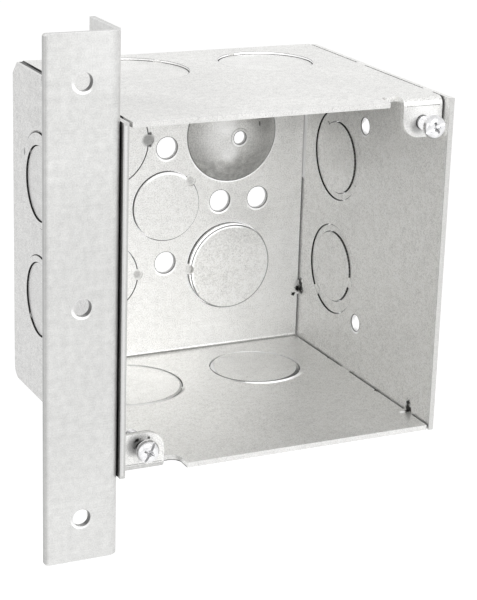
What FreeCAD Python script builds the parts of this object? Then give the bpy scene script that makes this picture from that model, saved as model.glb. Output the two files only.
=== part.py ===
import FreeCAD, Part
import math
import os
import re
import Sketcher
from FreeCAD import Placement, Rotation, Vector

# A welded 4 inch square electrical box with a stud bracket.
# Each body is drawn about the centre of the open front: +X right, +Y into the box, +Z up.
# Its placement then puts the bracket's middle screw hole at the origin.

SIZES = (
    ("box_width", 101.6, "outside, across the side panels"),
    ("box_height", 101.6, "outside, over the top and bottom walls"),
    ("box_depth", 88.9, "outside, front edge to back wall"),
    ("sheet", 1.59, "thickness of every sheet"),
    ("wall_bend", 2.8, "outside radius of the two long folds"),
    ("front_step", 0.4, "wrap edge behind the panels' front edges"),
    ("left_seam", 1.1, "open seam between the wrap and the left panel"),
    ("right_seam", 0.5, "open seam between the wrap and the right panel"),
    ("weld_length", 5.0, "length of a weld nib on the seam"),
    ("weld_front", 12.0, "front weld nibs, from the front"),
    ("weld_rear", 52.0, "rear weld nibs, from the front"),
    ("weld_rise", 32.0, "back weld nibs, from mid height"),
    ("panel_corner", 4.0, "rounded lower back corner of a side panel"),
    ("panel_cut", 3.8, "cut upper back corner of a side panel"),
    ("ear_inset", 14.7, "inner edge of a cover ear, from the box's side"),
    ("ear_reach", 11.5, "cover ear, from the outside of its wall to its tip"),
    ("ear_recess", 3.1, "cover ear's face behind the front"),
    ("ear_bend", 2.3, "outside radius of the ear's fold"),
    ("ear_corner", 5.5, "rounded tip corner of an ear, away from the side panel"),
    ("ear_root", 9.0, "wall that an ear grows from, behind its face"),
    ("relief_width", 6.1, "bend relief beside an ear"),
    ("relief_depth", 7.4, "bend relief, from the front"),
    ("relief_corner", 2.9, "rounded corner of the relief, away from the ear"),
    ("screw_inset", 8.4, "screw axis from the box's side"),
    ("screw_drop", 7.05, "screw axis from the outside of its wall"),
    ("screw_radius", 2.08, "thread, outside"),
    ("thread_clearance", 0.05, "radial play in the tapped ear"),
    ("screw_length", 12.7, "under the head"),
    ("head_radius", 3.4, "screw head"),
    ("head_height", 2.4, "screw head"),
    ("head_face_radius", 2.2, "flat of the screw head's face"),
    ("head_side", 0.9, "upright side of the screw head"),
    ("slot_width", 1.0, "driver slot"),
    ("slot_depth", 1.1, "driver slot"),
    ("upper_screw_out", 5.8, "head of the upper screw off its ear"),
    ("lower_screw_out", 2.3, "head of the lower screw off its ear"),
    ("upper_slot_turn", 25.0, "upper screw's slot from level, degrees"),
    ("lower_slot_turn", 62.0, "lower screw's slot from level, degrees"),
    ("small_radius", 11.3, "half inch knockout"),
    ("medium_radius", 14.4, "three quarter inch knockout"),
    ("large_radius", 17.45, "one inch knockout"),
    ("slit", 0.3, "sheared gap round a knockout"),
    ("top_push", 0.7, "knockouts of the top wall, into the box"),
    ("bottom_push", 0.3, "knockouts of the bottom wall, out of the box"),
    ("middle_push", 0.45, "middle knockout of the back wall, into the box"),
    ("lower_push", 1.0, "lower right knockout of the back wall, into the box"),
    ("ring_push", 0.35, "double knockouts, out of the box"),
    ("core_push", 0.45, "their cores, back into the box past the rings"),
    ("core_shift", 0.9, "core of a double knockout towards mid height"),
    ("tab_radius", 1.8, "coined tab that holds a knockout"),
    ("tab_dent", 0.3, "floor of a tab below its wall's inner face"),
    ("tab_sheet", 0.45, "sheet left in a tab"),
    ("knockout_line", 64.6, "knockouts in the four walls, from the front"),
    ("wall_knockout_x", 22.4, "knockouts in the top and bottom walls, from mid width"),
    ("side_knockout_z", 19.0, "double knockouts, from mid height"),
    ("side_hole_radius", 2.7, "round holes in the side panels"),
    ("side_hole_line", 47.7, "round holes in the side panels, from the front"),
    ("side_hole_z", 32.1, "round holes in the side panels, from mid height"),
    ("back_rise", 0.7, "pattern of the back wall above mid height"),
    ("back_right_x", 22.6, "right column of the back wall"),
    ("back_left_x", 21.0, "left column of the back wall"),
    ("back_row_z", 22.1, "rows of the back wall from its pattern's middle"),
    ("back_hole_radius", 3.6, "round holes in the back wall"),
    ("back_hole_pitch", 19.05, "round holes from the pattern's middle"),
    ("back_hole_step", 13.5, "between the two holes to the right"),
    ("dome_radius", 15.6, "ground dome at the wall"),
    ("dome_height", 6.4, "ground dome, into the box"),
    ("ground_hole_radius", 2.15, "tapped hole in the dome"),
    ("bracket_height", 149.2, "stud bracket"),
    ("bracket_rise", 0.9, "bracket's middle above the box's"),
    ("flange_width", 22.2, "bracket's front flange, from the side panel"),
    ("flange_depth", 21.2, "bracket's side flange, from the front"),
    ("bracket_bend", 3.3, "outside radius of the bracket's fold"),
    ("bracket_corner", 0.9, "rounded outer corners of the front flange"),
    ("bracket_hole_radius", 2.5, "screw holes"),
    ("bracket_hole_inset", 11.4, "screw holes from the side panel"),
    ("bracket_hole_pitch", 61.6, "screw holes, up the flange"),
)

doc = FreeCAD.newDocument("square_electrical_box")
sheet = doc.addObject("Spreadsheet::Sheet", "Sizes")
for row, (alias, value, note) in enumerate(SIZES, 1):
    sheet.set(f"A{row}", alias)
    sheet.set(f"B{row}", str(value))
    sheet.set(f"C{row}", note)
    sheet.setAlias(f"B{row}", alias)
doc.recompute()


def sized(text):
    """An expression in the sheet's names, such as box_depth - sheet."""
    return re.sub(r"(?!sqrt)\b[a-z][a-z_]+", r"Sizes.\g<0>", str(text))


def value_of(text):
    return float(sheet.evalExpression(sized(text)))


def new_body(label):
    body = doc.addObject("PartDesign::Body", label)
    body.Label = label
    body.setExpression("Placement.Base.x", sized("bracket_hole_inset + box_width / 2"))
    body.setExpression("Placement.Base.z", sized("-bracket_rise"))
    return body


def new_sketch(body, name, plane, height="0", x="0", y="0"):
    """A sketch on a plane of the body, moved along the plane's normal and to x and y on it."""
    sketch = body.newObject("Sketcher::SketchObject", name)
    origin = {feature.Role: feature for feature in body.Origin.OriginFeatures}
    sketch.AttachmentSupport = [(origin[plane + "_Plane"], "")]
    sketch.MapMode = "FlatFace"
    for axis, place in zip("xyz", (x, y, height)):
        sketch.setExpression(f".AttachmentOffset.Base.{axis}", sized(place))
    return sketch


def constrain(sketch, kind, *where_and_text):
    *where, text = where_and_text
    index = sketch.addConstraint(Sketcher.Constraint(kind, *where, value_of(text)))
    sketch.setExpression(f"Constraints[{index}]", sized(text))


def pin(sketch, geometry, point, x, y):
    """Hold one point of a sketch at x and y from the sketch's origin."""
    constrain(sketch, "DistanceX", -1, 1, geometry, point, x)
    constrain(sketch, "DistanceY", -1, 1, geometry, point, y)


def circle(sketch, x, y, radius):
    centre = Vector(value_of(x), value_of(y), 0)
    index = sketch.addGeometry(Part.Circle(centre, Vector(0, 0, 1), value_of(radius)))
    pin(sketch, index, 3, x, y)
    constrain(sketch, "Radius", index, radius)


def outline(sketch, corners):
    """A closed outline of straight lines through the corners."""
    spots = [Vector(value_of(x), value_of(y), 0) for x, y in corners]
    first = None
    for start, end in zip(spots, spots[1:] + spots[:1]):
        line = sketch.addGeometry(Part.LineSegment(start, end))
        first = line if first is None else first
    for step, (x, y) in enumerate(corners):
        after = first + (step + 1) % len(corners)
        sketch.addConstraint(Sketcher.Constraint("Coincident", first + step, 2, after, 1))
        pin(sketch, first + step, 1, x, y)


def half_disc(sketch, radius):
    """Half a disc about the sketch's origin, with its straight side on the sketch's level axis."""
    size = value_of(radius)
    whole = Part.Circle(Vector(), Vector(0, 0, 1), size)
    curve = sketch.addGeometry(Part.ArcOfCircle(whole, 0, math.pi))
    side = sketch.addGeometry(Part.LineSegment(Vector(-size, 0, 0), Vector(size, 0, 0)))
    sketch.addConstraint(Sketcher.Constraint("Coincident", curve, 3, -1, 1))
    sketch.addConstraint(Sketcher.Constraint("Coincident", curve, 2, side, 1))
    sketch.addConstraint(Sketcher.Constraint("Coincident", curve, 1, side, 2))
    sketch.addConstraint(Sketcher.Constraint("Horizontal", side))
    sketch.addConstraint(Sketcher.Constraint("PointOnObject", side, 1, -1))
    constrain(sketch, "Radius", curve, radius)


def extrude(body, name, kind, sketch, length, reverse=False, both_ways=False):
    """A Pad or Pocket of the sketch. A Pad goes along the sketch's normal, a Pocket against it."""
    feature = body.newObject("PartDesign::" + kind, name)
    feature.Profile = sketch
    feature.AllowMultiFace = True
    feature.Type = "Length"
    feature.SideType = "Symmetric" if both_ways else "One side"
    feature.Reversed = reverse
    feature.setExpression("Length", sized(length))
    before = feature.BaseFeature.Shape.Volume if feature.BaseFeature else 0.0
    doc.recompute()
    grown = feature.Shape.Volume > before
    if before and grown != (kind == "Pad"):
        raise ValueError(f"{name} points away from the solid")
    return feature


def spin(body, name, kind, sketch):
    """A Revolution or Groove of the sketch about its own level axis."""
    feature = body.newObject("PartDesign::" + kind, name)
    feature.Profile = sketch
    feature.ReferenceAxis = (sketch, ["H_Axis"])
    feature.Angle = 360
    doc.recompute()
    return feature


def round_edges(body, name, radius, direction, spots):
    """Fillet the straight edges along one axis that pass through the spots."""
    base = body.Tip
    axis = "xyz".index(direction)
    wanted = [[value_of(part) for part in spot] for spot in spots]
    names = []
    for number, edge in enumerate(base.Shape.Edges, 1):
        ends = [list(vertex.Point) for vertex in edge.Vertexes]
        if len(ends) != 2 or abs(ends[0][axis] - ends[1][axis]) < 1e-6:
            continue
        for end in ends:
            end.pop(axis)
        if any(max(abs(a - b) for a, b in zip(ends[0] + ends[1], spot + spot)) < 1e-4 for spot in wanted):
            names.append(f"Edge{number}")
    fillet = body.newObject("PartDesign::Fillet", name)
    fillet.Base = (base, names)
    fillet.setExpression("Radius", sized(radius))
    doc.recompute()
    return fillet


def knockouts(body, name, plane, inner, outer, inward, moves, rounds, tabs):
    """Sheared rounds that stay in their wall by coined tabs, some of them out of its plane.

    inner and outer are the wall's two faces along the plane's normal, and inward says
    whether that normal points into the box. A move has its rounds, the level that they start
    from, the distance and whether it goes into the box. rounds are all those that are sheared.
    """
    sign = 1 if inward else -1
    for step, (spots, level, push, into_box) in enumerate(moves):
        ahead, behind = (inner, outer) if into_box else (outer, inner)
        raised = new_sketch(body, f"{name}_raised_{step}", plane, f"{ahead} + {sign} * {level}")
        sunk = new_sketch(body, f"{name}_sunk_{step}", plane, f"{behind} + {sign} * {level}")
        for spot in spots:
            circle(raised, *spot)
            circle(sunk, *spot)
        along = inward == into_box
        extrude(body, f"{name}_push_{step}", "Pad", raised, push, reverse=not along)
        extrude(body, f"{name}_sink_{step}", "Pocket", sunk, push, reverse=along)
    slits = new_sketch(body, f"{name}_slits", plane, inner)
    for x, y, radius in rounds:
        circle(slits, x, y, radius)
        circle(slits, x, y, f"{radius} + slit")
    extrude(body, f"{name}_shear", "Pocket", slits, "4 * sheet", both_ways=True)
    plates = new_sketch(body, f"{name}_tabs", plane, f"{inner} - {sign} * (tab_dent + tab_sheet)")
    for x, y in tabs:
        circle(plates, x, y, "tab_radius")
    extrude(body, f"{name}_tab", "Pad", plates, "tab_sheet + tab_dent / 2", reverse=not inward)


def coin_tabs(body, name, plane, inner, tabs):
    """Round dents over the tabs, pressed in from the inside of a wall whose normal points in."""
    dents = new_sketch(body, f"{name}_dents", plane, f"{inner} + sheet")
    for x, y in tabs:
        circle(dents, x, y, "tab_radius")
    extrude(body, f"{name}_coin", "Pocket", dents, "sheet + tab_dent")


def on_rim(spot, across, up):
    """A tab on a knockout's rim, in the direction (across, up) of length 1 from its centre."""
    x, y, radius = spot
    return f"{x} + {across} * ({radius} + slit / 2)", f"{y} + {up} * ({radius} + slit / 2)"


def wrap_walls(body):
    """Top, back and bottom in one folded strip, with nibs that meet the side panels."""
    profile = new_sketch(body, "wrap_profile", "YZ", "(left_seam - right_seam) / 2")
    outline(profile, (
        ("front_step", "box_height / 2"),
        ("box_depth", "box_height / 2"),
        ("box_depth", "-box_height / 2"),
        ("front_step", "-box_height / 2"),
        ("front_step", "-box_height / 2 + sheet"),
        ("box_depth - sheet", "-box_height / 2 + sheet"),
        ("box_depth - sheet", "box_height / 2 - sheet"),
        ("front_step", "box_height / 2 - sheet"),
    ))
    extrude(body, "wrap", "Pad", profile, "box_width - 2 * sheet - left_seam - right_seam", both_ways=True)
    nibs = new_sketch(body, "weld_nibs", "YZ")
    for side in (1, -1):
        for place in ("weld_front", "weld_rear"):
            block(nibs, f"{place} - weld_length / 2", f"{place} + weld_length / 2",
                  f"{side} * box_height / 2", f"{side} * (box_height / 2 - sheet)")
        block(nibs, "box_depth - sheet", "box_depth",
              f"{side} * weld_rise - weld_length / 2", f"{side} * weld_rise + weld_length / 2")
    extrude(body, "weld_nib", "Pad", nibs, "box_width - 2 * sheet", both_ways=True)
    round_edges(body, "outer_folds", "wall_bend", "x",
                [("box_depth", f"{side} * box_height / 2") for side in (1, -1)])
    round_edges(body, "inner_folds", "wall_bend - sheet", "x",
                [("box_depth - sheet", f"{side} * (box_height / 2 - sheet)") for side in (1, -1)])


def block(sketch, left, right, bottom, top):
    outline(sketch, ((left, bottom), (right, bottom), (right, top), (left, top)))


def cover_ears(body):
    """An ear folded in from the top wall at the right, and one from the bottom wall at the left."""
    inner = "(box_width / 2 - ear_inset)"
    for name, side, seam in (("upper", 1, "right_seam"), ("lower", -1, "left_seam")):
        edge = f"(box_width / 2 - sheet - {seam})"
        relief = new_sketch(body, f"{name}_relief_profile", "XY", f"{side} * box_height / 2")
        block(relief, f"{side} * ({inner} - relief_width)", f"{side} * {inner}",
              "-sheet", "relief_depth")
        extrude(body, f"{name}_relief", "Pocket", relief, "2 * ear_bend", both_ways=True)
        setback = new_sketch(body, f"{name}_setback_profile", "XY", f"{side} * box_height / 2")
        block(setback, f"{side} * {inner}", f"{side} * ({edge} + sheet)", "-sheet", "ear_recess")
        extrude(body, f"{name}_setback", "Pocket", setback, "2 * ear_bend", both_ways=True)
        fold = new_sketch(body, f"{name}_ear_profile", "YZ", f"{side} * ({inner} + {edge}) / 2")
        top = f"{side} * box_height / 2"
        under = f"{side} * (box_height / 2 - sheet)"
        tip = f"{side} * (box_height / 2 - ear_reach)"
        outline(fold, (
            ("ear_recess", tip),
            ("ear_recess", top),
            ("ear_recess + ear_root", top),
            ("ear_recess + ear_root", under),
            ("ear_recess + sheet", under),
            ("ear_recess + sheet", tip),
        ))
        extrude(body, f"{name}_ear", "Pad", fold, f"{edge} - {inner}", both_ways=True)
    sides = (1, -1)
    round_edges(body, "relief_corners", "relief_corner", "z",
                [(f"{side} * ({inner} - relief_width)", "relief_depth") for side in sides])
    round_edges(body, "ear_outer_folds", "ear_bend", "x",
                [("ear_recess", f"{side} * box_height / 2") for side in sides])
    round_edges(body, "ear_inner_folds", "ear_bend - sheet", "x",
                [("ear_recess + sheet", f"{side} * (box_height / 2 - sheet)") for side in sides])
    round_edges(body, "ear_tips", "ear_corner", "y",
                [(f"{side} * {inner}", f"{side} * (box_height / 2 - ear_reach)") for side in sides])
    holes = new_sketch(body, "screw_hole_places", "XZ", "-ear_recess - sheet / 2")
    for side in sides:
        circle(holes, f"{side} * (box_width / 2 - screw_inset)",
               f"{side} * (box_height / 2 - screw_drop)", "screw_radius + thread_clearance")
    extrude(body, "screw_holes", "Pocket", holes, "2 * sheet", both_ways=True)


DOME_X, DOME_Z = "back_right_x", "(back_rise + back_row_z)"
DOME_BALL = "((dome_radius * dome_radius + dome_height * dome_height) / (2 * dome_height))"


def ball(body, name, kind, radius):
    """A ball about the dome's centre, added or cut."""
    middle = f"box_depth - sheet - dome_height + {DOME_BALL}"
    section = new_sketch(body, f"{name}_section", "XY", DOME_Z, DOME_X, middle)
    half_disc(section, radius)
    return spin(body, name, kind, section)


def dome_cap(body):
    """The front of a ball, as far as the back wall's outer face."""
    ball(body, "dome", "Revolution", DOME_BALL)
    rest = new_sketch(body, "dome_rest", "XZ", "-box_depth")
    block(rest, f"{DOME_X} - {DOME_BALL}", f"{DOME_X} + {DOME_BALL}",
          f"{DOME_Z} - {DOME_BALL}", f"{DOME_Z} + {DOME_BALL}")
    extrude(body, "dome_trim", "Pocket", rest, f"2 * {DOME_BALL}")


def hollow_dome(body):
    """The dome is pressed in from behind, so it is hollow there, and tapped at its top."""
    ball(body, "dome_hollow", "Groove", f"({DOME_BALL} - sheet)")
    hole = new_sketch(body, "ground_hole_place", "XZ", "-box_depth")
    circle(hole, DOME_X, DOME_Z, "ground_hole_radius")
    extrude(body, "ground_hole", "Pocket", hole, "2 * (dome_height + sheet)", both_ways=True)


def back_pattern(body):
    """Knockouts and round holes of the back wall."""
    inner, outer = "(sheet - box_depth)", "(-box_depth)"
    upper, lower = "(back_rise + back_row_z)", "(back_rise - back_row_z)"
    centre = ("0", "back_rise", "small_radius")
    lower_right = ("back_right_x", lower, "medium_radius")
    upper_left = ("-back_left_x", upper, "medium_radius")
    lower_left = ("-back_left_x", lower, "small_radius")
    tabs = [on_rim(centre, 0.74, 0.67), on_rim(lower_right, -1, 0),
            on_rim(upper_left, 1, 0), on_rim(lower_left, 1, 0)]
    knockouts(body, "back", "XZ", inner, outer, True,
              [([centre], "0", "middle_push", True), ([lower_right], "0", "lower_push", True)],
              [centre, lower_right, upper_left, lower_left], tabs)
    coin_tabs(body, "back", "XZ", inner, tabs)
    holes = new_sketch(body, "back_hole_places", "XZ", outer)
    for x, z in (("0", "back_rise + back_hole_pitch"), ("0", "back_rise - back_hole_pitch"),
                 ("back_hole_pitch", "back_rise"), ("back_hole_pitch + back_hole_step", "back_rise")):
        circle(holes, x, z, "back_hole_radius")
    extrude(body, "back_holes", "Pocket", holes, "4 * sheet", both_ways=True)


def box_body():
    body = new_body("box_body")
    dome_cap(body)
    wrap_walls(body)
    cover_ears(body)
    back_pattern(body)
    hollow_dome(body)
    large = ("-wall_knockout_x", "knockout_line", "large_radius")
    medium = ("wall_knockout_x", "knockout_line", "medium_radius")
    pair = [large, medium]
    knockouts(body, "top", "XY", "(box_height / 2 - sheet)", "(box_height / 2)", False,
              [(pair, "0", "top_push", True)], pair,
              [on_rim(large, 0.77, 0.64), on_rim(medium, -0.34, 0.94)])
    knockouts(body, "bottom", "XY", "(sheet - box_height / 2)", "(-box_height / 2)", True,
              [(pair, "0", "bottom_push", False)], pair,
              [on_rim(large, 0.5, -0.87), on_rim(medium, -0.34, 0.94)])
    return body


def side_panel(label, side, ring_tabs, core_tabs):
    """A flat side with two double knockouts and two round holes. side is 1 at the right.

    The tabs are directions from the knockouts' centres, first the upper one's, then the lower one's.
    """
    body = new_body(label)
    outer = f"({side} * box_width / 2)"
    inner = f"({side} * (box_width / 2 - sheet))"
    flat = new_sketch(body, f"{label}_outline", "YZ", inner)
    outline(flat, (
        ("0", "-box_height / 2"),
        ("box_depth", "-box_height / 2"),
        ("box_depth", "box_height / 2 - panel_cut"),
        ("box_depth - panel_cut", "box_height / 2"),
        ("0", "box_height / 2"),
    ))
    extrude(body, f"{label}_sheet", "Pad", flat, "sheet", reverse=side < 0)
    round_edges(body, f"{label}_corner", "panel_corner", "x", [("box_depth", "-box_height / 2")])
    rings, cores, tabs = [], [], []
    for end, ring_spots, core_spots in zip((1, -1), ring_tabs, core_tabs):
        ring = ("knockout_line", f"{end} * side_knockout_z", "medium_radius")
        core = ("knockout_line", f"{end} * (side_knockout_z - core_shift)", "small_radius")
        rings.append(ring)
        cores.append(core)
        tabs += [on_rim(ring, *spot) for spot in ring_spots]
        tabs += [on_rim(core, *spot) for spot in core_spots]
    moves = [(rings, "0", "ring_push", False), (cores, "(-ring_push)", "core_push", True)]
    knockouts(body, label, "YZ", inner, outer, side < 0, moves, rings + cores, tabs)
    holes = new_sketch(body, f"{label}_hole_places", "YZ", outer)
    for end in (1, -1):
        circle(holes, "side_hole_line", f"{end} * side_hole_z", "side_hole_radius")
    extrude(body, f"{label}_holes", "Pocket", holes, "4 * sheet", both_ways=True)
    return body


def stud_bracket():
    """A folded strip: its side flange lies on the left panel, its front flange reaches out."""
    body = new_body("stud_bracket")
    side, tip = "-box_width / 2", "(-box_width / 2 - flange_width)"
    profile = new_sketch(body, "bracket_profile", "XY", "bracket_rise")
    outline(profile, (
        (tip, "0"),
        (side, "0"),
        (side, "flange_depth"),
        (f"{side} - sheet", "flange_depth"),
        (f"{side} - sheet", "sheet"),
        (tip, "sheet"),
    ))
    extrude(body, "bracket", "Pad", profile, "bracket_height", both_ways=True)
    round_edges(body, "bracket_outer_fold", "bracket_bend", "z", [(side, "0")])
    round_edges(body, "bracket_inner_fold", "bracket_bend - sheet", "z", [(f"{side} - sheet", "sheet")])
    round_edges(body, "bracket_corners", "bracket_corner", "y",
                [(tip, f"bracket_rise + {end} * bracket_height / 2") for end in (1, -1)])
    holes = new_sketch(body, "bracket_hole_places", "XZ")
    for step in (1, 0, -1):
        circle(holes, f"{side} - bracket_hole_inset",
               f"bracket_rise + {step} * bracket_hole_pitch", "bracket_hole_radius")
    extrude(body, "bracket_holes", "Pocket", holes, "4 * sheet", both_ways=True)
    return body


def cover_screw(label, side, out, turn):
    """A slotted pan head screw in its ear."""
    body = new_body(label)
    profile = new_sketch(body, f"{label}_profile", "YZ")
    outline(profile, (
        ("-head_height", "0"),
        ("screw_length", "0"),
        ("screw_length", "screw_radius"),
        ("0", "screw_radius"),
        ("0", "head_radius"),
        ("-head_side", "head_radius"),
        ("-head_height", "head_face_radius"),
    ))
    spin(body, f"{label}_turned", "Revolution", profile)
    slot = new_sketch(body, f"{label}_slot_place", "XZ", "head_height")
    block(slot, "-head_radius - sheet", "head_radius + sheet", "-slot_width / 2", "slot_width / 2")
    extrude(body, f"{label}_slot", "Pocket", slot, "slot_depth")
    body.Placement = Placement(Vector(), Rotation(Vector(0, 1, 0), -value_of(turn)))
    body.setExpression("Placement.Base.x", sized(
        f"bracket_hole_inset + box_width / 2 + {side} * (box_width / 2 - screw_inset)"))
    body.setExpression("Placement.Base.y", sized(f"ear_recess - {out}"))
    body.setExpression("Placement.Base.z", sized(
        f"-bracket_rise + {side} * (box_height / 2 - screw_drop)"))
    return body


pieces = [
    box_body(),
    side_panel("left_side", -1, ([(0.91, 0.41)], [(0.91, -0.41)]), ([(0.72, 0.69)], [(0.75, -0.66)])),
    side_panel("right_side", 1, ([(-0.79, -0.62)], [(0.72, -0.7)]), ([(0.7, 0.72)], [(-0.98, -0.2)])),
    stud_bracket(),
    cover_screw("upper_cover_screw", 1, "upper_screw_out", "upper_slot_turn"),
    cover_screw("lower_cover_screw", -1, "lower_screw_out", "lower_slot_turn"),
]
doc.recompute()

for item in doc.Objects:
    if {"Invalid", "Error"} & set(item.State):
        raise ValueError(f"{item.Name} did not build")
for piece in pieces:
    if piece.Shape.isNull() or not piece.Shape.isValid() or len(piece.Shape.Solids) != 1:
        raise ValueError(f"{piece.Label} is not one sound solid")

os.makedirs("parts", exist_ok=True)
for piece in pieces:
    piece.Shape.exportStep(f"parts/{piece.Label}.step")
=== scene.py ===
import math

import bmesh
import bpy
from mathutils import Matrix, Vector


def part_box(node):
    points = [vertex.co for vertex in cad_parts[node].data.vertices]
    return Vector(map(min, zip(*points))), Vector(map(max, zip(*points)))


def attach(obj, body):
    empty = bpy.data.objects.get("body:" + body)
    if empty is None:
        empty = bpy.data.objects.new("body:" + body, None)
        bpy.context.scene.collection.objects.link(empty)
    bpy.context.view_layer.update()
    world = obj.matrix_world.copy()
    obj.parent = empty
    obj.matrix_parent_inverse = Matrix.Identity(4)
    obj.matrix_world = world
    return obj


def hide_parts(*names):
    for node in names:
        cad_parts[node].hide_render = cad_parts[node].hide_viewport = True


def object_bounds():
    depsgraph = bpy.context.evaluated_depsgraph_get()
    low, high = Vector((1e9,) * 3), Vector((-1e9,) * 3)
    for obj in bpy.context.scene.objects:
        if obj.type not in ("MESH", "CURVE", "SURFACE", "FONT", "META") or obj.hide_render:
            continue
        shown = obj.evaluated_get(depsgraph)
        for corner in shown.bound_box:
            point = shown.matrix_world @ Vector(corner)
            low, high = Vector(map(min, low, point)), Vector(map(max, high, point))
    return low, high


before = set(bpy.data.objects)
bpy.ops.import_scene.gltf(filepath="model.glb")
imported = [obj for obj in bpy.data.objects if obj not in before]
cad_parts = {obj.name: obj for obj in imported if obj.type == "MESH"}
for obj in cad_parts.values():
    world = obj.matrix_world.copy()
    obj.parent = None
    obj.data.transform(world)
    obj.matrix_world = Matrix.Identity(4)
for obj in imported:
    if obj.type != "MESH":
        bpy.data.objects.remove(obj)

# A square electrical box on its stud bracket. Everything is in metres, in the frame of the CAD.
# +X runs across the box, +Y into it and +Z up. The bracket's middle screw hole is the origin.
# Tables of marks give their radii and depths in millimetres, and their places through spot().

MM = 0.001
X, Y, Z = range(3)
cad_low, cad_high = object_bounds()


# Camera, lights and stage

CAMERA_PLACE = (-0.17580, -0.45526, 0.16398)
CAMERA_TURN = (71.7468, -1.7133, -25.4589)
CAMERA_LENS = 114.81
CAMERA_SENSOR = 36.0
CAMERA_CLIP = (0.01, 50.0)

WHITE = (1.0, 1.0, 1.0, 1.0)
WORLD_LIGHT = 0.60
WORLD_SEEN = 1.0
LAMP_AIM = (0.06, 0.05, 0.0)
LAMPS = (  # name, place, size and watts
    ("key", (0.26, -1.42, 0.85), 1.0, 9.8),
    ("fill", (-1.5, -0.8, 0.5), 1.2, 3.0),
)

FLOOR_DROP = 0.30
FLOOR_SIZE = 12.0
FLOOR_COLOR = (0.84, 0.84, 0.84, 1.0)
FLOOR_GLOW = 0.52


def add_camera():
    data = bpy.data.cameras.new("camera")
    data.lens = CAMERA_LENS
    data.sensor_width = CAMERA_SENSOR
    data.clip_start, data.clip_end = CAMERA_CLIP
    camera = bpy.data.objects.new("camera", data)
    camera.location = CAMERA_PLACE
    camera.rotation_euler = [math.radians(turn) for turn in CAMERA_TURN]
    bpy.context.collection.objects.link(camera)
    bpy.context.scene.camera = camera


def add_lamp(name, place, size, watts):
    """A square soft lamp at a place, turned towards the box."""
    data = bpy.data.lights.new(name, "AREA")
    data.shape = "SQUARE"
    data.size = size
    data.energy = watts
    lamp = bpy.data.objects.new(name, data)
    lamp.location = place
    towards = Vector(LAMP_AIM) - Vector(place)
    lamp.rotation_euler = towards.to_track_quat("-Z", "Y").to_euler()
    bpy.context.collection.objects.link(lamp)


def seen_directly(nodes, links):
    """1 for the rays of the camera, and for those that metal or glass sends on."""
    path = nodes.new("ShaderNodeLightPath")
    seen = path.outputs["Is Camera Ray"]
    for kind in ("Is Glossy Ray", "Is Transmission Ray"):
        either = nodes.new("ShaderNodeMath")
        either.operation = "MAXIMUM"
        links.new(seen, either.inputs[0])
        links.new(path.outputs[kind], either.inputs[1])
        seen = either.outputs[0]
    return seen


def add_world():
    """Plain light from all round, which looks white where it is seen."""
    world = bpy.data.worlds.new("studio")
    bpy.context.scene.world = world
    world.use_nodes = True
    nodes, links = world.node_tree.nodes, world.node_tree.links
    nodes.clear()
    output = nodes.new("ShaderNodeOutputWorld")
    mix = nodes.new("ShaderNodeMixShader")
    for socket, strength in ((1, WORLD_LIGHT), (2, WORLD_SEEN)):
        background = nodes.new("ShaderNodeBackground")
        background.inputs["Color"].default_value = WHITE
        background.inputs["Strength"].default_value = strength
        links.new(background.outputs[0], mix.inputs[socket])
    links.new(seen_directly(nodes, links), mix.inputs["Fac"])
    links.new(mix.outputs[0], output.inputs["Surface"])


def add_floor():
    """A wide pale floor below the box, which hangs free of it."""
    mesh = bpy.data.meshes.new("floor")
    half = FLOOR_SIZE / 2
    corners = [(x, y, cad_low.z - FLOOR_DROP) for x, y in
               ((-half, -half), (half, -half), (half, half), (-half, half))]
    mesh.from_pydata(corners, [], [(0, 1, 2, 3)])
    floor = bpy.data.objects.new("floor", mesh)
    bpy.context.collection.objects.link(floor)
    material = bpy.data.materials.new("floor_white")
    material.use_nodes = True
    nodes, links = material.node_tree.nodes, material.node_tree.links
    nodes.clear()
    output = nodes.new("ShaderNodeOutputMaterial")
    matt = nodes.new("ShaderNodeBsdfDiffuse")
    matt.inputs["Color"].default_value = FLOOR_COLOR
    glow = nodes.new("ShaderNodeEmission")
    level = nodes.new("ShaderNodeMath")
    level.operation = "MULTIPLY"
    level.inputs[1].default_value = FLOOR_GLOW
    links.new(seen_directly(nodes, links), level.inputs[0])
    links.new(level.outputs[0], glow.inputs["Strength"])
    both = nodes.new("ShaderNodeAddShader")
    links.new(matt.outputs[0], both.inputs[0])
    links.new(glow.outputs[0], both.inputs[1])
    links.new(both.outputs[0], output.inputs["Surface"])
    mesh.materials.append(material)


# Places on the box, from the frame and the part's sizes

panel_low, panel_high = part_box("left_side")
MIDDLE = Vector((62.2 * MM, 0.0, (panel_low.z + panel_high.z) / 2))
BACK_WALL = panel_high.y / MM - 1.59
SIDE_WALL = 49.21
EAR_FACE = 3.1
KNOCKOUT_LINE = 64.6
SMALL, MEDIUM, LARGE = 11.3, 14.4, 17.45
SLIT = 0.3 * MM


def spot(x, y, z):
    """A place given in millimetres from the middle of the open front."""
    return MIDDLE + Vector((x, y, z)) * MM


CAVITY = (spot(-50.0, -1.0, -50.0), spot(50.0, 88.1, 50.0))
DOME_FOOT = spot(22.6, BACK_WALL, 22.8)
DOME_TOP = spot(22.6, BACK_WALL - 6.4, 22.8)


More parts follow.
